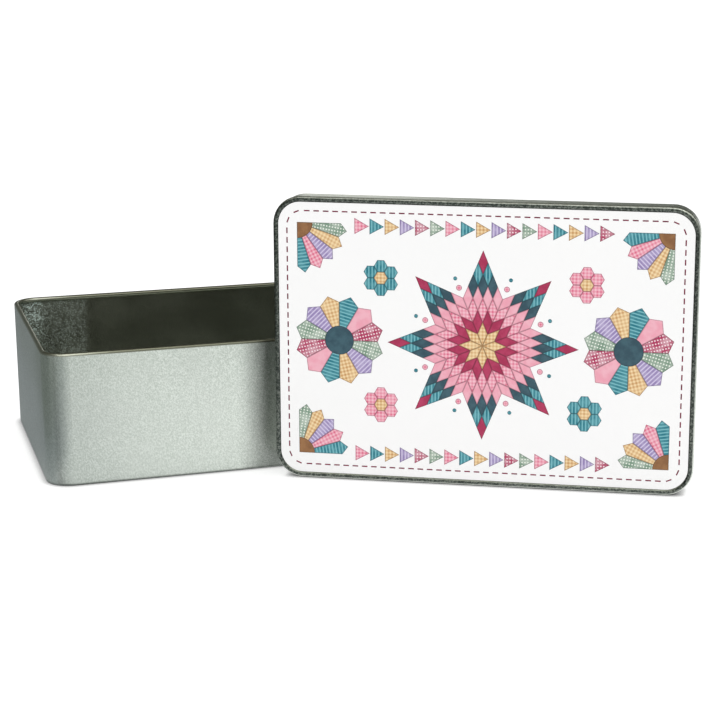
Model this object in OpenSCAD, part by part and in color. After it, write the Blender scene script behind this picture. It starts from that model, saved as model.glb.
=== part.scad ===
// A tinplate sewing tin: an open oblong box with rounded corners, and its slip lid, which stands
// upright on its long side in front of the box. The origin is the centre of the box's underside.
// X runs along the box, and the lid stands on the -Y side.

/* [Lid] */
// Length of the lid over its raised border
lid_l = 190; // [160:1:240]
// Width of the lid over its raised border
lid_w = 129; // [110:1:170]
// Depth of the lid, from the top of its border to the free edge of its skirt
skirt_d = 13; // [10:0.5:18]
// Radius of the lid's corners at its border
lid_r = 12.5; // [9:0.5:20]
// Diameter of the rounded border
bead_d = 2.4; // [2:0.1:3]
// How far the border stands out beyond the skirt
bead_proud = 0.3; // [0:0.1:0.6]

/* [Printed panel] */
// Thickness of the printed panel
panel_t = 0.45; // [0.3:0.05:0.6]
// Thickness of the adhesive behind it
glue_t = 0.15; // [0.1:0.05:0.2]

/* [Box] */
// Height of the box
base_h = 61; // [45:1:90]
// Diameter of the curled rim
curl_d = 2.2; // [1.8:0.1:3]
// Height by which the middle of the bottom is raised
emboss_h = 0.8; // [0.5:0.1:1.2]

/* [Sheet and fit] */
// Thickness of the tinplate
sheet = 0.3; // [0.2:0.05:0.4]
// Free space on each side between the lid's hem and the box
slip_gap = 0.2; // [0.1:0.05:0.4]

/* [Standing lid] */
// Turn of the standing lid from the box's long side
lid_turn = -28; // [-35:0.5:-20]
// Place of the middle of its lower border along the box
lid_x = 91.5; // [80:0.5:110]
// Place of the middle of its lower border across the box
lid_y = -120.5; // [-150:0.5:-120.5]

/* [Hidden] */
$fn = 96;

// Cutting shapes reach this much further than what they cut
over = 5;

bead_r = bead_d / 2;
// The lid's skirt is folded back on itself at its free edge
hem_h = 2.5;
hem_t = 2 * sheet;
// The sheet under the printed panel lies level with the middle of the border
recess_z = -bead_r + sheet;

// The panel and its adhesive lie inside the border
panel_gap = 0.05;
panel_inset = bead_d + panel_gap;
glue_inset = panel_inset + 1.5;

// The box fits inside the lid's hem
fit_inset = bead_proud + hem_t + slip_gap;
base_l = lid_l - 2 * fit_inset;
base_w = lid_w - 2 * fit_inset;
base_r = lid_r - fit_inset;
curl_r = curl_d / 2;
curl_end = 305;

// The wall's lower edge is turned in under the bottom plate
foot_r = 0.8;
foot_w = 3;
flange_h = 3.5;
land_w = 5;
emboss_run = 1;

// The wall's ends are folded together in a seam on the inside of the back
seam_x = 58;
seam_w = 4;
seam_t = 2 * sheet;
seam_low = 4.5;
seam_high = base_h - curl_d - 0.4;

// The standing lid rests on its border and on its hem, so it leans back a little
hem_drop = bead_r - bead_proud - sheet;
stance = skirt_d - sheet - bead_r;
lid_lean = asin((bead_r - sheet) / norm([hem_drop, stance])) - atan(hem_drop / stance);

// Runs the children's outline round a rounded oblong; its x is measured from the corners' centres
module band(length, width, radius) {
    half = [length / 2 - radius, width / 2 - radius];
    for (side = [0 : 3]) {
        out = half[side % 2];
        along = half[(side + 1) % 2];
        rotate(90 * side) translate([out, along]) {
            rotate([90, 0, 0]) linear_extrude(2 * along) children();
            rotate_extrude(angle = 90) children();
        }
    }
}

// The middle of such an oblong, between the corners' centres
module middle(length, width, radius, low, high) {
    translate([radius - length / 2, radius - width / 2, low])
        cube([length - 2 * radius, width - 2 * radius, high - low]);
}

// A flat plate with rounded corners
module plate(length, width, radius, thickness) {
    band(length, width, radius) square([radius, thickness]);
    middle(length, width, radius, 0, thickness);
}

// A bent strip of sheet, with the outside radius given, between two angles no more than 180 apart
module bend(radius, from, to) {
    far = radius + over;
    turns = [0, 0.25, 0.5, 0.75, 1];
    intersection() {
        difference() {
            circle(radius);
            circle(radius - sheet);
        }
        polygon(concat([[0, 0]], [for (t = turns) let (a = from + t * (to - from)) far * [cos(a), sin(a)]]));
    }
}

// The upright sheet, its curled rim and its turned-in foot
module wall_outline() {
    translate([base_r - sheet, foot_r]) square([sheet, base_h - curl_r - foot_r]);
    translate([base_r - curl_r, base_h - curl_r]) {
        bend(curl_r, 0, 180);
        bend(curl_r, 180, curl_end);
    }
    translate([base_r - foot_r, foot_r]) bend(foot_r, 270, 360);
    translate([base_r - foot_w, 0]) square([foot_w - foot_r, sheet]);
}

module body_wall() {
    color("#b9c0ba") {
        band(base_l, base_w, base_r) wall_outline();
        translate([seam_x - seam_w / 2, base_w / 2 - sheet - seam_t, seam_low])
            cube([seam_w, seam_t, seam_high - seam_low]);
    }
}

// The bottom lies on the turned-in foot, with its own edge turned up inside the wall
module bottom_outline() {
    edge = base_r - sheet;
    land = edge - land_w;
    raised = land - emboss_run;
    top = sheet + emboss_h;
    polygon([[0, top], [raised, top], [land, sheet], [base_r - foot_r, sheet],
        [base_r - foot_r, 2 * sheet], [land, 2 * sheet], [raised, top + sheet], [0, top + sheet]]);
    translate([base_r - foot_r, foot_r]) bend(foot_r - sheet, 270, 360);
    translate([edge - sheet, foot_r]) square([sheet, flange_h - foot_r]);
}

module bottom_plate() {
    top = sheet + emboss_h;
    color("#aeb5af") {
        band(base_l, base_w, base_r) bottom_outline();
        middle(base_l, base_w, base_r, top, top + sheet);
    }
}

// The rounded border, the sheet inside it, and the skirt with its hem; z is 0 at the border's top
module lid_outline() {
    skirt_x = lid_r - bead_proud - sheet;
    translate([lid_r - bead_r, -bead_r]) {
        bend(bead_r, 0, 180);
        intersection() {
            bend(bead_r, -90, 0);
            translate([skirt_x - lid_r + bead_r, -bead_d]) square([bead_d, bead_d]);
        }
    }
    translate([0, -bead_r]) square([lid_r - bead_d + sheet, sheet]);
    translate([skirt_x, sheet - skirt_d]) {
        square([sheet, skirt_d - bead_d]);
        translate([-sheet, 0]) square([sheet, hem_h - sheet]);
        intersection() {
            circle(sheet);
            translate([-sheet, -sheet]) square([2 * sheet, sheet]);
        }
    }
}

// Stands what is drawn flat, with its top up, on its long side beside the box
module standing() {
    translate([lid_x, lid_y, bead_r]) rotate([0, 0, lid_turn]) rotate([90 - lid_lean, 0, 0])
        translate([0, lid_w / 2 - bead_r, bead_r]) children();
}

module lid_shell() {
    color("#6f7370") standing() {
        band(lid_l, lid_w, lid_r) lid_outline();
        middle(lid_l, lid_w, lid_r, -bead_r, recess_z);
    }
}

module print_panel() {
    color("#fbfbfb") standing() translate([0, 0, recess_z + glue_t])
        plate(lid_l - 2 * panel_inset, lid_w - 2 * panel_inset, lid_r - panel_inset, panel_t);
}

module adhesive_sheet() {
    color("#e8e4d6") standing() translate([0, 0, recess_z])
        plate(lid_l - 2 * glue_inset, lid_w - 2 * glue_inset, lid_r - glue_inset, glue_t);
}

body_wall();
bottom_plate();
lid_shell();
print_panel();
adhesive_sheet();
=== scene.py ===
"""A tinplate sewing tin, standing open, with its slip lid standing upright in front of it.

Everything is in metres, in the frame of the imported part: X along the box, Z up, and the lid on
the -Y side. The lid's print is drawn in millimetres on the printed panel, x to the right and y up
from its middle. Where a pair of numbers is named for its edges, a smooth step runs from the first
to the second.
"""

import math

import bpy
from mathutils import Matrix, Vector


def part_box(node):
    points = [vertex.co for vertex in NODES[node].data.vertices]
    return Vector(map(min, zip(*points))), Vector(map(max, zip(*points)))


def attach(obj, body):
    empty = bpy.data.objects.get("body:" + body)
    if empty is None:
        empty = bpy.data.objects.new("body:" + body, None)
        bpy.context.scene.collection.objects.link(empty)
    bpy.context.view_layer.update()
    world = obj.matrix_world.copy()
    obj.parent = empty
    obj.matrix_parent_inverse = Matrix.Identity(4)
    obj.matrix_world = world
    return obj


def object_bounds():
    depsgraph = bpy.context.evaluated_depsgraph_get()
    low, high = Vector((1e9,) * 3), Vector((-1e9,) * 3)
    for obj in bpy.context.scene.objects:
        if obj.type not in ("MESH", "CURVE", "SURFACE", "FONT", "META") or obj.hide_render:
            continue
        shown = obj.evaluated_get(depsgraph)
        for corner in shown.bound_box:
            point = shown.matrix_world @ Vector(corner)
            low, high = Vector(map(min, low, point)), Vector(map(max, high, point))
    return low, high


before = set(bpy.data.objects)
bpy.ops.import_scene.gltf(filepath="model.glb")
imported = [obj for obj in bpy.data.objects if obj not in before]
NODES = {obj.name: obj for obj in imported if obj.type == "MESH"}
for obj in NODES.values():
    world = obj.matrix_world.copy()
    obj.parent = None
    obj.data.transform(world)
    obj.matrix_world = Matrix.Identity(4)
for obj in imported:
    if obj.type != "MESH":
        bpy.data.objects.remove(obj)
cad_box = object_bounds()
MM = 0.001


# The camera

IMAGE_WIDTH = 723
SENSOR_WIDTH = 36
CAMERA_PLACE = (-0.1840, -0.9009, 0.2639)
CAMERA_TURN = math.radians(-19.18)
CAMERA_PITCH = math.radians(13.97)
CAMERA_ROLL = math.radians(0.25)
CAMERA_RANGE = (0.05, 20)
FOCAL_PIXELS = 1917
CENTRE_OFFSET_PIXELS = 112


def make_camera():
    data = bpy.data.cameras.new("camera")
    data.sensor_width = SENSOR_WIDTH
    data.lens = FOCAL_PIXELS / IMAGE_WIDTH * SENSOR_WIDTH
    data.shift_x = -CENTRE_OFFSET_PIXELS / IMAGE_WIDTH
    data.clip_start, data.clip_end = CAMERA_RANGE
    camera = bpy.data.objects.new("camera", data)
    bpy.context.scene.collection.objects.link(camera)
    pitch = Matrix.Rotation(math.pi / 2 - CAMERA_PITCH, 4, "X")
    aim = Matrix.Rotation(CAMERA_TURN, 4, "Z") @ pitch
    roll = Matrix.Rotation(CAMERA_ROLL, 4, "Z")
    camera.matrix_world = Matrix.Translation(CAMERA_PLACE) @ aim @ roll
    bpy.context.scene.camera = camera


# Node trees are built with a short helper: a value that is a socket is linked, any other is set

# The colour sockets of a Mix node, which has a set of sockets for each kind of value
MIX_FIRST = 6
MIX_SECOND = 7
MIX_RESULT = 2


class Shade:
    """The nodes of one material or world."""

    def __init__(self, owner):
        owner.use_nodes = True
        self.tree = owner.node_tree
        self.tree.nodes.clear()

    def add(self, kind, inputs=None, **settings):
        node = self.tree.nodes.new("ShaderNode" + kind)
        for name, value in settings.items():
            setattr(node, name, value)
        for name, value in (inputs or {}).items():
            self.put(node.inputs[name], value)
        return node

    def put(self, socket, value):
        if isinstance(value, bpy.types.NodeSocket):
            self.tree.links.new(value, socket)
        else:
            socket.default_value = value

    def math(self, operation, *values, clamp=False):
        inputs = dict(enumerate(values))
        return self.add("Math", inputs, operation=operation, use_clamp=clamp).outputs[0]

    def plus(self, first, second):
        return self.math("ADD", first, second)

    def times(self, first, second):
        return self.math("MULTIPLY", first, second)

    def most(self, first, second):
        return self.math("MAXIMUM", first, second)

    def opposite(self, value):
        return self.math("SUBTRACT", 1.0, value)

    def vector(self, operation, *values):
        return self.add("VectorMath", dict(enumerate(values)), operation=operation).outputs[0]

    def dot(self, first, second):
        node = self.add("VectorMath", {0: first, 1: second}, operation="DOT_PRODUCT")
        return node.outputs["Value"]

    def length(self, vector):
        return self.add("VectorMath", {0: vector}, operation="LENGTH").outputs["Value"]

    def parts(self, vector):
        return self.add("SeparateXYZ", {"Vector": vector}).outputs

    def joined(self, x=0.0, y=0.0, z=0.0):
        return self.add("CombineXYZ", {"X": x, "Y": y, "Z": z}).outputs[0]

    def mix(self, factor, first, second, blend="MIX"):
        node = self.add("Mix", data_type="RGBA", blend_type=blend, clamp_factor=True)
        self.put(node.inputs["Factor"], factor)
        self.put(node.inputs[MIX_FIRST], first)
        self.put(node.inputs[MIX_SECOND], second)
        return node.outputs[MIX_RESULT]

    def ramp(self, value, low, high, to_low=0.0, to_high=1.0):
        """A smooth step from one value at the low edge to another at the high edge."""
        limits = {"From Min": low, "From Max": high, "To Min": to_low, "To Max": to_high}
        inputs = {"Value": value, **limits}
        node = self.add("MapRange", inputs, clamp=True, interpolation_type="SMOOTHSTEP")
        return node.outputs[0]

    def place(self):
        """The point's place in the part's own frame, which moves with its body."""
        return self.add("TexCoord").outputs["Object"]

    def normal(self):
        return self.add("NewGeometry").outputs["Normal"]

    def noise(self, where, scale, detail=3.0, roughness=0.5):
        inputs = {"Vector": where, "Scale": scale, "Detail": detail, "Roughness": roughness}
        return self.add("TexNoise", inputs).outputs[0]

    def cells(self, where, scale):
        return self.add("TexVoronoi", {"Vector": where, "Scale": scale}).outputs["Color"]


def colour(red, green, blue):
    """A colour as it shows on screen, 0 to 255, as Blender's linear values."""

    def linear(value):
        share = value / 255
        return share / 12.92 if share <= 0.04045 else ((share + 0.055) / 1.055) ** 2.4

    return (linear(red), linear(green), linear(blue), 1.0)


def grey(level):
    return (level, level, level, 1.0)


WHITE = grey(1.0)

# How many rays look for what stands near a point
SHADE_SAMPLES = 8


def new_material(name):
    material = bpy.data.materials.new(name)
    return material, Shade(material)


def finish_surface(shade, inputs, normal=None):
    surface = shade.add("BsdfPrincipled", inputs)
    if normal is not None:
        shade.put(surface.inputs["Normal"], normal)
    output = shade.add("OutputMaterial")
    shade.put(output.inputs["Surface"], surface.outputs[0])


def middle_of(node):
    """The middle of the node's box."""
    return sum((Vector(corner) for corner in NODES[node].bound_box), Vector()) / 8


def panel_axes():
    """The middle of the panel's printed face, and its directions to the right, up and out."""
    mesh = NODES["print_panel"].data
    centre = middle_of("print_panel")
    out = max(mesh.polygons, key=lambda face: face.area).normal.copy()
    if out.dot(centre - middle_of("lid_shell")) < 0:
        out.negate()
    height = max(out.dot(corner.co) for corner in mesh.vertices)
    middle = centre + (height - out.dot(centre)) * out
    right = Vector((0, 0, 1)).cross(out).normalized()
    return middle, right, out.cross(right), out


# Tinplate: a satin metal with a fine grain of short pale strokes that cross in every direction

STROKE_TURNS = ((0.6, 0.5, 0.7), (-0.7, 0.9, -0.6), (0.2, -1.1, 1.4))
STROKE_LENGTH = 1.7 * MM
STROKE_WIDTH = 0.5 * MM
STROKE_EDGES = (0.49, 0.69)
CRYSTAL_SCALE = 1500


def strokes(shade, where):
    """Short strokes, less than two millimetres long: 0 between them and 1 along them."""
    size = (STROKE_LENGTH, STROKE_WIDTH, STROKE_WIDTH)
    tone = None
    for turn in STROKE_TURNS:
        inputs = {"Vector": where, "Rotation": turn, "Scale": size}
        turned = shade.add("Mapping", inputs, vector_type="TEXTURE").outputs[0]
        stroke = shade.noise(turned, 1.0, 2.0, 0.6)
        tone = stroke if tone is None else shade.most(tone, stroke)
    return shade.ramp(tone, *STROKE_EDGES)


def crystals(shade, where, strength):
    """A small tilt of the normal that differs from crystal to crystal."""
    centred = shade.vector("SUBTRACT", shade.cells(where, CRYSTAL_SCALE), (0.5, 0.5, 0.5))
    return shade.vector("MULTIPLY", centred, (strength, strength, strength))


def tilted(shade, *tilts):
    normal = shade.normal()
    for tilt in tilts:
        normal = shade.vector("ADD", normal, tilt)
    return shade.vector("NORMALIZE", normal)


# A face counts as an inner one where it looks away from the box's middle by less than this
INSIDE_EDGES = (-0.004, -0.012)


def inside_mask(shade, where):
    """1 on the box's inner faces: there the surface faces the box's middle."""
    flat = shade.vector("MULTIPLY", where, (1.0, 1.0, 0.0))
    return shade.ramp(shade.dot(flat, shade.normal()), *INSIDE_EDGES)


# The wall springs back a little after its bends, so its flat sides are slightly hollow near them:
# by nothing at the first of these distances from a side's end, and by the whole turn at the second
BEND_REACH = (0.045, 0.012)
BEND_TURN = 0.10


def spring_back(shade, where):
    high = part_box("body_wall")[1]
    x, y, _ = shade.parts(where)
    tilts = []
    for along, reach in ((x, high.x), (y, high.y)):
        edges = [reach - distance for distance in BEND_REACH]
        size = shade.ramp(shade.math("ABSOLUTE", along), *edges, 0.0, BEND_TURN)
        tilts.append(shade.times(shade.math("SIGN", along), size))
    return shade.joined(*tilts)


# The frost inside the tin near its bends: sharp glints over soft patches
GLINT_SCALE = 1900
GLINT_EDGES = (0.55, 0.9)
GLINT_STRENGTH = 0.85
PATCH_SCALE = 420
PATCH_EDGES = (0.36, 0.62)
PATCH_STRENGTHS = (0.08, 0.34)

# Distances from the box's ends: where the frost sets in, where it thickens for the bend, and where
# the thick frost stops, next to the end itself
FROST_REACH = (0.039, 0.034)
BEND_FROST_REACH = (0.017, 0.012)
CLEAR_REACH = (0.003, 0.008)
FROST = 0.42
BEND_FROST = 0.75

# The thick frost fades towards this share of the box's height, and the curled rim has none
BEND_FROST_LOW = 0.35
RIM_CLEAR = (2.4 * MM, 2.8 * MM)


def frosting(shade, where):
    """How far the tin's crystals scatter the light: in flecks near the bends, most at the bends."""
    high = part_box("body_wall")[1]
    x, _, z = shade.parts(where)
    along = shade.math("ABSOLUTE", x)

    def share(reach, strength=1.0):
        return shade.ramp(along, high.x - reach[0], high.x - reach[1], 0.0, strength)

    glints = shade.ramp(shade.parts(shade.cells(where, GLINT_SCALE))["X"], *GLINT_EDGES)
    patches = shade.noise(where, PATCH_SCALE, 3.0, 0.7)
    patches = shade.ramp(patches, *PATCH_EDGES, *PATCH_STRENGTHS)
    flecks = shade.math("ADD", patches, shade.times(glints, GLINT_STRENGTH), clamp=True)
    bend = shade.times(share(BEND_FROST_REACH, BEND_FROST), share(CLEAR_REACH))
    bend = shade.times(bend, shade.ramp(z, BEND_FROST_LOW * high.z, high.z))
    below = shade.ramp(z, *[high.z - depth for depth in RIM_CLEAR])
    return shade.times(below, shade.times(flecks, shade.plus(share(FROST_REACH, FROST), bend)))


# The front wall is darker close to the standing lid: within this reach, towards this direction.
# The last line has the edges of the open share around a point, and the tones at them
LID_SHADE_REACH = 20 * MM
LID_SHADE_SIDE = (0.70, -0.45, 0.55)
LID_SHADE = (0.30, 0.56, 0.25, 1.0)

# A face that looks forward by less than these isn't part of the front wall
FRONT_FACE_EDGES = (0.95, 0.7)


def lid_shade(shade, inside):
    """The tone beside the standing lid on the front wall, which is white everywhere else."""
    inputs = {"Distance": LID_SHADE_REACH, "Normal": shade.joined(*LID_SHADE_SIDE)}
    node = shade.add("AmbientOcclusion", inputs, samples=SHADE_SAMPLES)
    forward = shade.dot(shade.normal(), (0.0, -1.0, 0.0))
    elsewhere = shade.most(inside, shade.ramp(forward, *FRONT_FACE_EDGES))
    tone = shade.most(elsewhere, shade.ramp(node.outputs["AO"], *LID_SHADE))
    return shade.joined(tone, tone, tone)


CLOUD_SCALE = 45
CLOUD_EDGES = (0.35, 0.65)
BOX_SPARKLE = 0.07
BOX_ROUGHNESS = (0.30, 0.34)

# The curled rim is darker than the wall by a painted shade, except at the left end. These depths
# below its top, and these places along the box, are where that begins and where it is complete
RIM_DEPTHS = (1.5 * MM, 1.0 * MM)
RIM_ENDS = (-0.087, -0.058)

# The wall's foot is darker by a painted shade: the heights between which that fades, and its strengths
# there
FOOT_SHADE_HEIGHTS = (0.4 * MM, 1.4 * MM)
FOOT_SHADE_STRENGTHS = (0.3, 0.0)


def box_colour(shade, where, inside, clouds):
    """Bright outside; painted shade inside, where the tin only reflects itself, on the rim and foot.
    """
    along, _, height = shade.parts(where)
    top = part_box("body_wall")[1].z
    dull = shade.mix(clouds, colour(204, 213, 204), colour(210, 218, 210))
    outside = shade.mix(strokes(shade, where), dull, colour(237, 244, 237))
    # Painted shade: the inside gets a darker colour than the outside
    inside_shade = shade.mix(clouds, colour(150, 152, 140), colour(156, 158, 146))
    base = shade.mix(inside, outside, inside_shade)
    # Painted shade on the curled rim, less of it at the left end
    rim = shade.ramp(along, *RIM_ENDS)
    rim = shade.mix(rim, colour(196, 198, 184), colour(132, 133, 117))
    base = shade.mix(shade.ramp(height, *[top - depth for depth in RIM_DEPTHS]), base, rim)
    # Painted shade along the wall's foot, where it meets the floor
    foot = shade.ramp(height, *FOOT_SHADE_HEIGHTS, *FOOT_SHADE_STRENGTHS)
    return shade.mix(foot, base, colour(110, 116, 108))


def box_material():
    """The tin of the box: grained outside, frosted at the bends inside, shaded beside the lid."""
    material, shade = new_material("tinplate")
    where = shade.place()
    inside = inside_mask(shade, where)
    clouds = shade.ramp(shade.noise(where, CLOUD_SCALE), *CLOUD_EDGES)
    frost = shade.times(inside, frosting(shade, where))
    base = shade.mix(frost, box_colour(shade, where, inside, clouds), colour(200, 217, 209))
    base = shade.mix(1.0, base, lid_shade(shade, inside), "MULTIPLY")
    rough = shade.ramp(clouds, 0.0, 1.0, *BOX_ROUGHNESS)
    inputs = {"Base Color": base, "Metallic": shade.opposite(frost), "Roughness": rough}
    tilts = (crystals(shade, where, BOX_SPARKLE), spring_back(shade, where))
    finish_surface(shade, inputs, tilted(shade, *tilts))
    return material


# Depths below the top of the lid's border between which its crease lies, darkened by a painted shade
CREASE_START = (1.8 * MM, 2.2 * MM)
CREASE_END = (4.0 * MM, 5.2 * MM)
CREASE_SHADE_STRENGTH = 0.8

# How far a face looks away from the lid's middle, to the right and up, and, in the last two, to
# the front
OUTER_EDGES = (-0.01, 0.01)
RIGHT_EDGES = (-0.7, -0.2)
UP_EDGES = (0.35, 0.75)
FLANK_EDGES = (0.93, 0.72)
CREST_EDGES = (0.02, 0.2)


def lid_masks(shade, where):
    """1 on the lid's outer side, and the shares of painted shade on the crest of its border and in the
    crease below it.
    """
    _, right, _, out = panel_axes()
    top = max(out.dot(corner.co) for corner in NODES["lid_shell"].data.vertices)
    from_middle = shade.vector("SUBTRACT", where, tuple(middle_of("lid_shell")))
    outer = shade.ramp(shade.dot(shade.normal(), from_middle), *OUTER_EDGES)
    rightward = shade.ramp(shade.dot(shade.normal(), tuple(right)), *RIGHT_EDGES)
    upward = shade.ramp(shade.parts(shade.normal())["Z"], *UP_EDGES)
    forward = shade.dot(shade.normal(), tuple(out))
    # Lit flanks face up, or right on the outer side, but not straight to the front, and keep the
    # bright colour; the rest of what faces the front is the crest, darkened by a painted shade
    lit_flank = shade.most(shade.times(outer, rightward), upward)
    lit_flank = shade.times(lit_flank, shade.ramp(forward, *FLANK_EDGES))
    crest = shade.times(shade.ramp(forward, *CREST_EDGES), shade.opposite(lit_flank))
    # The crease below the border gets a painted shade
    depth = shade.math("SUBTRACT", top, shade.dot(where, tuple(out)))
    below = shade.ramp(depth, *CREASE_START)
    crease = shade.times(below, shade.ramp(depth, *reversed(CREASE_END)))
    crease = shade.times(shade.times(crease, outer), CREASE_SHADE_STRENGTH)
    return outer, crest, crease


FLECK_SCALE = 1000
FLECK_EDGES = (0.42, 0.64)
LID_SPARKLE = 0.14
LID_ROUGHNESS = 0.34


def lid_material():
    """Bright as the box is on its skirt and on the flanks of its border; painted shade darkens the
    border's crest, the crease below it, and its hollow."""
    material, shade = new_material("lid_tinplate")
    where = shade.place()
    outer, crest, crease = lid_masks(shade, where)
    grain = strokes(shade, where)
    flecks = shade.ramp(shade.noise(where, FLECK_SCALE, 3.0, 0.7), *FLECK_EDGES)
    bright = shade.mix(flecks, colour(216, 223, 215), colour(232, 237, 228))
    bright = shade.mix(grain, bright, colour(244, 247, 240))
    # Painted shade: the lid's hollow gets a darker colour than its outer side
    hollow = shade.mix(grain, colour(168, 173, 160), colour(186, 191, 178))
    base = shade.mix(outer, hollow, bright)
    # Painted shade in the crease
    base = shade.mix(crease, base, colour(74, 78, 62))
    # Painted shade on the border's crest
    base = shade.mix(crest, base, shade.mix(flecks, colour(68, 74, 70), colour(132, 138, 131)))
    inputs = {"Base Color": base, "Metallic": 1.0, "Roughness": LID_ROUGHNESS}
    finish_surface(shade, inputs, tilted(shade, crystals(shade, where, LID_SPARKLE)))
    return material


COAT_GLOSS_SCALE = 90
COAT_GLOSS_EDGES = (0.3, 0.7)
COAT_ROUGHNESS = (0.38, 0.46)
COAT_TONE_SCALE = 14
ADHESIVE_SCALE = 400
ADHESIVE_ROUGHNESS = 0.7


def panel_material():
    """The printed sheet's white coat, a little uneven in gloss."""
    material, shade = new_material("white_coat")
    where = shade.place()
    gloss = shade.noise(where, COAT_GLOSS_SCALE)
    rough = shade.ramp(gloss, *COAT_GLOSS_EDGES, *COAT_ROUGHNESS)
    tone = shade.noise(where, COAT_TONE_SCALE)
    white = shade.mix(tone, colour(252, 252, 252), colour(254, 254, 253))
    finish_surface(shade, {"Base Color": white, "Roughness": rough})
    return material


def adhesive_material():
    material, shade = new_material("adhesive")
    tone = shade.noise(shade.place(), ADHESIVE_SCALE)
    base = shade.mix(tone, colour(222, 216, 198), colour(240, 236, 222))
    finish_surface(shade, {"Base Color": base, "Roughness": ADHESIVE_ROUGHNESS})
    return material


def dress(node, material):
    mesh = NODES[node].data
    mesh.materials.clear()
    mesh.materials.append(material)
    for polygon in mesh.polygons:
        polygon.material_index = 0


def dress_nodes():
    tin = box_material()
    dress("body_wall", tin)
    dress("bottom_plate", tin)
    dress("lid_shell", lid_material())
    dress("print_panel", panel_material())
    dress("adhesive_sheet", adhesive_material())


# The print: patchwork blocks of traditional patterns, in small printed cottons. Each patch is a
# thin flat solid. It keeps, for its material, its own coordinates in millimetres and how far in
# from its edge a point lies

# Each cotton has its dye, its second colour and its pattern
COTTONS = {
    "crimson": (colour(168, 34, 80), colour(204, 70, 112), "plain"),
    "crimson_dots": (colour(178, 42, 90), colour(250, 228, 234), "dots"),
    "rose_check": (colour(226, 104, 138), colour(248, 196, 208), "check"),
    "blush": (colour(240, 164, 182), colour(250, 204, 214), "plain"),
    "teal_stripe": (colour(28, 120, 136), colour(120, 188, 196), "stripes"),
    "deep_teal": (colour(42, 76, 90), colour(72, 112, 124), "plain"),
    "sage_dots": (colour(122, 152, 130), colour(236, 242, 232), "dots"),
    "gold_check": (colour(206, 152, 92), colour(246, 220, 172), "check"),
    "brown": (colour(136, 92, 54), colour(176, 128, 80), "plain"),
    "lilac_stripe": (colour(150, 132, 184), colour(212, 202, 230), "stripes"),
}

# How far each layer of patches lies above the one below, how deep a patch sinks into the panel,
# and how wide the shade along its seams is
LAYER_RISE = 0.02
PRINT_SINK = 0.05
SEAM_SHADE = 0.5

# How far the round middle of a plate and the corner of a fan lap over the blades
PLATE_LAP = 1.6
FAN_LAP = 1.2
QUARTER_STEPS = 12

GOOSE_HALF_HEIGHT = 3.6
GOOSE_SHARE = 0.48
STITCH_HALF_WIDTH = 0.3

patches = {cotton: [] for cotton in COTTONS}


def patch(cotton, outline, origin=(0, 0), turn=0, layer=1):
    """Adds an outline, given round its own origin, to the print: turned, then moved to the origin."""
    patches[cotton].append((outline, origin, turn, layer))


def polar(radius, angle):
    return (radius * math.cos(math.radians(angle)), radius * math.sin(math.radians(angle)))


def disc(radius, sides=36):
    return [polar(radius, 360 * side / sides) for side in range(sides)]


def blade(inner, outer, tip, width):
    """A pointed blade along +x, for a plate or a fan; width is its angle."""
    half = width / 2
    return [polar(inner, -half), polar(outer, -half), (tip, 0), polar(outer, half), polar(inner, half)]


def dresden_plate(origin, inner, outer, tip, cottons, centre):
    count = len(cottons)
    for place, cotton in enumerate(cottons):
        outline = blade(inner, outer, tip, 360 / count)
        patch(cotton, outline, origin, 360 * (place + 0.5) / count)
    patch(centre, disc(inner + PLATE_LAP), origin, 0, layer=2)


def corner_fan(origin, heading, inner, outer, tip, cottons, centre):
    """A quarter plate whose middle blade points along the heading."""
    width = 90 / len(cottons)
    for place, cotton in enumerate(cottons):
        outline = blade(inner, outer, tip, width)
        patch(cotton, outline, origin, heading - 45 + width * (place + 0.5))
    angles = [90 * step / QUARTER_STEPS - 45 for step in range(QUARTER_STEPS + 1)]
    quarter = [(0, 0)] + [polar(inner + FAN_LAP, angle) for angle in angles]
    patch(centre, quarter, origin, heading, layer=2)


def lone_star(origin, radius, rows, cottons):
    """Eight points, each a diamond of rows by rows small diamonds, coloured ring by ring."""
    side = radius / (2 * rows * math.cos(math.pi / 8))
    for point in range(8):
        start = Vector(polar(side, 45 * point - 22.5))
        stop = Vector(polar(side, 45 * point + 22.5))
        outline = [(0, 0), tuple(start), tuple(start + stop), tuple(stop)]
        for row in range(rows):
            for column in range(rows):
                near = Vector(origin) + row * start + column * stop
                patch(cottons[row + column], outline, tuple(near))


def hexagon_flower(origin, radius, petal, centre):
    """Seven hexagons, one ringed by six."""
    outline = disc(radius, 6)
    patch(centre, outline, origin)
    for side in range(6):
        x, y = polar(radius * math.sqrt(3), 60 * side + 30)
        patch(petal, outline, (origin[0] + x, origin[1] + y))


def goose_row(height, reach, count, cottons):
    """A row of triangles that all point one way."""
    step = 2 * reach / count
    half = GOOSE_SHARE * step
    outline = [(-half, -GOOSE_HALF_HEIGHT), (half, 0), (-half, GOOSE_HALF_HEIGHT)]
    for place in range(count):
        patch(cottons[place % len(cottons)], outline, (-reach + (place + 0.5) * step, height))


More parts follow.
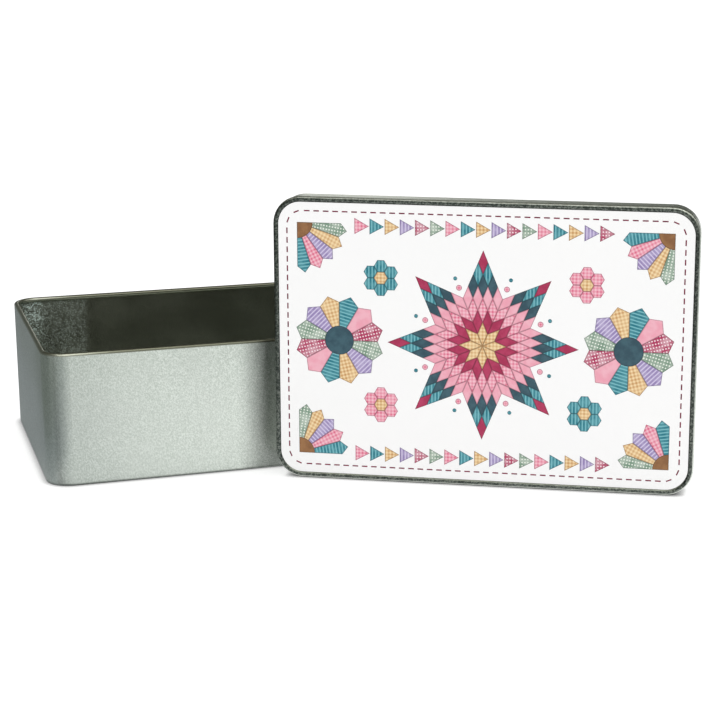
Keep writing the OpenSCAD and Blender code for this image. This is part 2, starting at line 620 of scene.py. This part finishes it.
def running_stitch(half_x, half_y, radius, stitch, gap, cotton):
    """Stitches along a rounded oblong: the straight sides, then the corner arcs."""
    end, edge = stitch / 2, STITCH_HALF_WIDTH
    outline = [(-end, -edge), (end, -edge), (end, edge), (-end, edge)]
    for side in (-1, 1):
        for reach, out, turn in ((half_x - radius, half_y, 0), (half_y - radius, half_x, 90)):
            count = round(2 * reach / (stitch + gap))
            for place in range(count):
                along = -reach + 2 * reach * (place + 0.5) / count
                where = (along, side * out) if turn == 0 else (side * out, along)
                patch(cotton, outline, where, turn)
    for quarter in range(4):
        centre_x = (half_x - radius) * (1 if quarter in (0, 3) else -1)
        centre_y = (half_y - radius) * (1 if quarter in (0, 1) else -1)
        for angle in (22.5, 67.5):
            x, y = polar(radius, 90 * quarter + angle)
            patch(cotton, outline, (centre_x + x, centre_y + y), 90 * quarter + angle + 90)


STAR_RINGS = ["gold_check", "crimson", "rose_check", "blush", "deep_teal", "teal_stripe", "crimson"]
PLATE = ["crimson_dots", "blush", "teal_stripe", "gold_check", "lilac_stripe", "sage_dots"] * 2
FAN = ["teal_stripe", "rose_check", "lilac_stripe", "gold_check", "sage_dots"]
GEESE = ["rose_check", "teal_stripe", "gold_check", "lilac_stripe", "crimson_dots", "sage_dots"]

# The small discs between the star's points: their distance from its middle, radius and cotton
STAR_DISCS = ((28, 1.3, "rose_check"), (32.5, 0.9, "teal_stripe"))


def draw_print():
    lone_star((0, 0), radius=43, rows=4, cottons=STAR_RINGS)
    for side in (-1, 1):
        plate = {"inner": 5, "outer": 17.5, "tip": 20.5, "cottons": PLATE, "centre": "deep_teal"}
        dresden_plate((65 * side, 0), **plate)
        goose_row(height=52 * side, reach=58, count=17, cottons=GEESE)
        for end in (-1, 1):
            heading = math.degrees(math.atan2(-side, -end))
            fan = {"inner": 6, "outer": 20, "tip": 23, "cottons": FAN, "centre": "brown"}
            corner_fan((84 * end, 53 * side), heading, **fan)
            petal = "rose_check" if side == end else "teal_stripe"
            hexagon_flower((46 * end, 29 * side), radius=3.1, petal=petal, centre="gold_check")
    for notch in range(8):
        for distance, radius, cotton in STAR_DISCS:
            patch(cotton, disc(radius, 16), polar(distance, 45 * notch + 22.5))
    running_stitch(half_x=88.6, half_y=58.2, radius=7, stitch=2.6, gap=1.7, cotton="crimson")


# Keeps a very sharp corner from moving in too far
MITRE_LIMIT = 0.25


def inset(outline, distance):
    """The outline moved in by a distance, corner by corner."""
    corners = [Vector(point) for point in outline]
    moved = []
    for place, corner in enumerate(corners):
        ahead = (corners[(place + 1) % len(corners)] - corner).normalized()
        behind = (corner - corners[place - 1]).normalized()
        inward = Vector((-ahead.y - behind.y, ahead.x + behind.x))
        moved.append(corner + inward * distance / max(MITRE_LIMIT, 1 + ahead.dot(behind)))
    return moved


def add_patch(points, faces, marks, axes, outline, origin, turn, layer):
    middle, right, up, out = axes
    turned = Matrix.Rotation(math.radians(turn), 2)
    low, high = -PRINT_SINK, layer * LAYER_RISE
    edge = [Vector(point) for point in outline]
    heart = inset(outline, SEAM_SHADE)
    first = len(points)
    size = len(edge)
    for ring, height, depth in ((edge, low, 0.0), (edge, high, 0.0), (heart, high, 1.0)):
        for point in ring:
            x, y = turned @ point + Vector(origin)
            points.append(middle + MM * (x * right + y * up + height * out))
            marks.extend((point.x, point.y, depth))
    for place in range(size):
        after = (place + 1) % size
        for ring in (0, 1):
            start = first + ring * size
            faces.append((start + place, start + after, start + size + after, start + size + place))
    faces.append([first + 2 * size + place for place in range(size)])
    faces.append([first + size - 1 - place for place in range(size)])


def sew(cotton, axes):
    """All the patches of one cotton, as one piece on the lid."""
    points, faces, marks = [], [], []
    for outline, origin, turn, layer in patches[cotton]:
        add_patch(points, faces, marks, axes, outline, origin, turn, layer)
    mesh = bpy.data.meshes.new("print_" + cotton)
    mesh.from_pydata(points, [], faces)
    places = mesh.attributes.new("patch_place", "FLOAT_VECTOR", "POINT")
    places.data.foreach_set("vector", marks)
    mesh.materials.append(cotton_material(cotton))
    piece = bpy.data.objects.new("print_" + cotton, mesh)
    bpy.context.scene.collection.objects.link(piece)
    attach(piece, "lid")


# The cottons' patterns, in millimetres. A pattern gives where the cotton's second colour shows

DOT_STEP = 1.3
DOT_ROW = 1.5
DOT_EDGES = (0.42, 0.28)
STRIPE_STEP = 0.75
STRIPE_EDGES = (0.42, 0.54)
CHECK_STEP = 0.8
CHECK_EDGES = (0.35, 0.45)


def dots(shade, across, along):
    """Round dots, with every second row shifted."""
    row = shade.math("MODULO", shade.math("FLOOR", shade.math("DIVIDE", along, DOT_ROW)), 2.0)
    shifted = shade.plus(across, shade.times(row, DOT_STEP))
    x = shade.math("PINGPONG", shifted, DOT_STEP)
    y = shade.math("PINGPONG", shade.plus(along, DOT_ROW / 2), DOT_ROW / 2)
    x = shade.math("SUBTRACT", x, DOT_STEP / 2)
    distance = shade.math("SQRT", shade.plus(shade.times(x, x), shade.times(y, y)))
    return shade.ramp(distance, *DOT_EDGES)


def stripes(shade, across, along):
    return shade.ramp(shade.math("PINGPONG", across, STRIPE_STEP), *STRIPE_EDGES)


def check(shade, across, along):
    """Two sets of half-strong stripes, which add up where they cross."""
    lines = []
    for way in (across, along):
        lines.append(shade.ramp(shade.math("PINGPONG", way, CHECK_STEP), *CHECK_EDGES, 0.0, 0.5))
    return shade.plus(*lines)


def plain(shade, across, along):
    return 0.0


PATTERNS = {"dots": dots, "stripes": stripes, "check": check, "plain": plain}

WASH_SCALE = 260
WASH_EDGES = (0.35, 0.68)
WASH_STRENGTH = 0.45
SEAM_EDGES = (0.15, 0.95)
SEAM_STRENGTH = 0.85
SEAM_TONE = 0.45
PRINT_ROUGHNESS = 0.42


def cotton_material(cotton):
    """Painted cotton: its pattern over a mottled dye, darker along the patch's seams."""
    dye, second, pattern = COTTONS[cotton]
    material, shade = new_material("print_" + cotton)
    marks = shade.add("Attribute", attribute_name="patch_place").outputs["Vector"]
    across, along, depth = shade.parts(marks)
    wash = shade.ramp(shade.noise(shade.place(), WASH_SCALE, 3.0, 0.6), *WASH_EDGES)
    ground = shade.mix(shade.times(wash, WASH_STRENGTH), dye, second)
    base = shade.mix(PATTERNS[pattern](shade, across, along), ground, second)
    dark = tuple(SEAM_TONE * part for part in dye[:3]) + (1.0,)
    base = shade.mix(shade.ramp(depth, *SEAM_EDGES, SEAM_STRENGTH, 0.0), base, dark)
    finish_surface(shade, {"Base Color": base, "Roughness": PRINT_ROUGHNESS})
    return material


def make_print():
    draw_print()
    axes = panel_axes()
    for cotton in COTTONS:
        sew(cotton, axes)


# The floor: white for the camera, with the part's shadow. In the metal's reflections it is grey at
# the box's left end and beyond, white to the right, and grey again far in front

FLOOR_SIZE = 8.0
FLOOR_DROP = 0.2 * MM
FLOOR_PAINT = 0.70
CAMERA_PAINT = 0.75
CAMERA_GLOW = 0.62
MIRROR_PAINT = 0.5
MIRROR_GLOW = 0.66
CONTACT_SHADE = 3.5 * MM
MIRROR_CONTACT = 0.6
END_GREY = (0.235, 0.253, 0.268, 1.0)
CORNER_GREY = (0.15, 0.165, 0.155, 1.0)
FRONT_GREY = (0.50, 0.52, 0.50, 1.0)
CORNER_EDGES = (-0.17, -0.125)
WHITE_EDGES = (-0.14, 0.125)

# A place counts as further right by this share of its distance in front of the box's middle, and
# as further left by this share of its distance behind
FRONT_SHARE = 0.5
BACK_SHARE = 0.1

# Just in front of the wall's foot a place counts as this far right, so that the foot stays bright
FOOT_SIDE = 0.105
FOOT_FRONT_EDGES = (-0.058, -0.068)
FOOT_LEFT_EDGES = (-0.13, -0.10)

# The grey far in front begins this far from the middle of the part
PART_MIDDLE = (0.05, -0.05, 0.0)
FAR_EDGES = (0.28, 0.42)
FAR_FRONT_EDGES = (-0.05, -0.20)


def floor_tint(shade):
    """The tint that the metal reflects."""
    x, y, _ = shade.parts(shade.place())
    front = shade.most(shade.times(y, -FRONT_SHARE), shade.times(y, -BACK_SHARE))
    foot = shade.ramp(y, *FOOT_FRONT_EDGES, 0.0, FOOT_SIDE)
    foot = shade.times(foot, shade.ramp(x, *FOOT_LEFT_EDGES))
    side = shade.plus(x, shade.most(front, foot))
    grey_end = shade.mix(shade.ramp(side, *CORNER_EDGES), CORNER_GREY, END_GREY)
    tint = shade.mix(shade.ramp(side, *WHITE_EDGES), grey_end, WHITE)
    reach = shade.length(shade.vector("SUBTRACT", shade.place(), PART_MIDDLE))
    far = shade.times(shade.ramp(reach, *FAR_EDGES), shade.ramp(y, *FAR_FRONT_EDGES))
    return shade.mix(far, tint, FRONT_GREY)


def floor_material():
    material, shade = new_material("floor")
    ray = shade.add("LightPath").outputs
    mirrored = shade.most(ray["Is Glossy Ray"], ray["Is Transmission Ray"])
    tint = shade.mix(mirrored, WHITE, floor_tint(shade))
    inputs = {"Color": WHITE, "Distance": CONTACT_SHADE}
    contact = shade.add("AmbientOcclusion", inputs, samples=SHADE_SAMPLES).outputs["Color"]
    contact_share = shade.opposite(shade.times(mirrored, MIRROR_CONTACT))
    tint = shade.mix(contact_share, tint, contact, "MULTIPLY")
    paint = shade.mix(mirrored, grey(FLOOR_PAINT), grey(FLOOR_PAINT * MIRROR_PAINT))
    paint = shade.mix(ray["Is Camera Ray"], paint, grey(FLOOR_PAINT * CAMERA_PAINT))
    paint = shade.mix(1.0, paint, tint, "MULTIPLY")
    painted = shade.add("BsdfDiffuse", {"Color": paint}).outputs[0]
    camera_glow = shade.times(ray["Is Camera Ray"], CAMERA_GLOW)
    strength = shade.plus(camera_glow, shade.times(mirrored, MIRROR_GLOW))
    glow = shade.add("Emission", {"Color": tint, "Strength": strength}).outputs[0]
    both = shade.add("AddShader", {0: painted, 1: glow}).outputs[0]
    output = shade.add("OutputMaterial")
    shade.put(output.inputs["Surface"], both)
    return material


def make_floor():
    low = cad_box[0][2]
    bpy.ops.mesh.primitive_plane_add(size=FLOOR_SIZE, location=(0, 0, low - FLOOR_DROP))
    floor = bpy.context.object
    floor.name = "floor"
    floor.data.materials.append(floor_material())


# The room that the metal reflects. Its window stands between these places, counted to the right
# and, by a share, to the back
SIDE_TURN = 0.4
WINDOW_LEFT_EDGES = (0.575, 0.60)
WINDOW_RIGHT_EDGES = (0.705, 0.66)
FRONT_WALL_EDGES = (-0.4, -0.9)
CEILING_EDGES = (0.40, 0.60)
SOFTBOX_HEIGHT_EDGES = (0.50, 0.62)
SOFTBOX_FRONT_EDGES = (0.10, -0.35)


def make_world():
    """White all round for the camera and the light. What the metal reflects is a dim room with a
    narrow window at the back on the right, a pale wall in front, a dark ceiling, and a bright
    softbox on the front half of the ceiling."""
    world = bpy.data.worlds.new("studio")
    bpy.context.scene.world = world
    shade = Shade(world)
    x, y, z = shade.parts(shade.add("TexCoord").outputs["Generated"])
    side = shade.plus(x, shade.times(y, SIDE_TURN))
    window = shade.times(shade.ramp(side, *WINDOW_LEFT_EDGES), shade.ramp(side, *WINDOW_RIGHT_EDGES))
    walls = shade.mix(window, colour(84, 88, 82), colour(255, 255, 250))
    walls = shade.mix(shade.ramp(y, *FRONT_WALL_EDGES), walls, colour(184, 187, 182))
    room = shade.mix(shade.ramp(z, *CEILING_EDGES), walls, colour(70, 70, 58))
    softbox = shade.ramp(z, *SOFTBOX_HEIGHT_EDGES)
    softbox = shade.times(softbox, shade.ramp(y, *SOFTBOX_FRONT_EDGES))
    room = shade.mix(softbox, room, colour(248, 248, 238))
    ray = shade.add("LightPath").outputs
    sky = shade.mix(ray["Is Glossy Ray"], WHITE, room)
    background = shade.add("Background", {"Color": sky, "Strength": 1.0})
    output = shade.add("OutputWorld")
    shade.put(output.inputs["Surface"], background.outputs[0])


SUN_FROM = (-0.25, -1.0, 1.1)
SUN_STRENGTH = 0.50
SUN_SPREAD = math.radians(50)


def make_sun():
    data = bpy.data.lights.new("sun", "SUN")
    data.energy = SUN_STRENGTH
    data.angle = SUN_SPREAD
    sun = bpy.data.objects.new("sun", data)
    bpy.context.scene.collection.objects.link(sun)
    sun.rotation_euler = (-Vector(SUN_FROM)).to_track_quat("-Z", "Y").to_euler()


def build():
    bpy.context.scene.view_settings.view_transform = "Standard"
    make_camera()
    make_world()
    make_sun()
    make_floor()
    dress_nodes()
    make_print()


build()
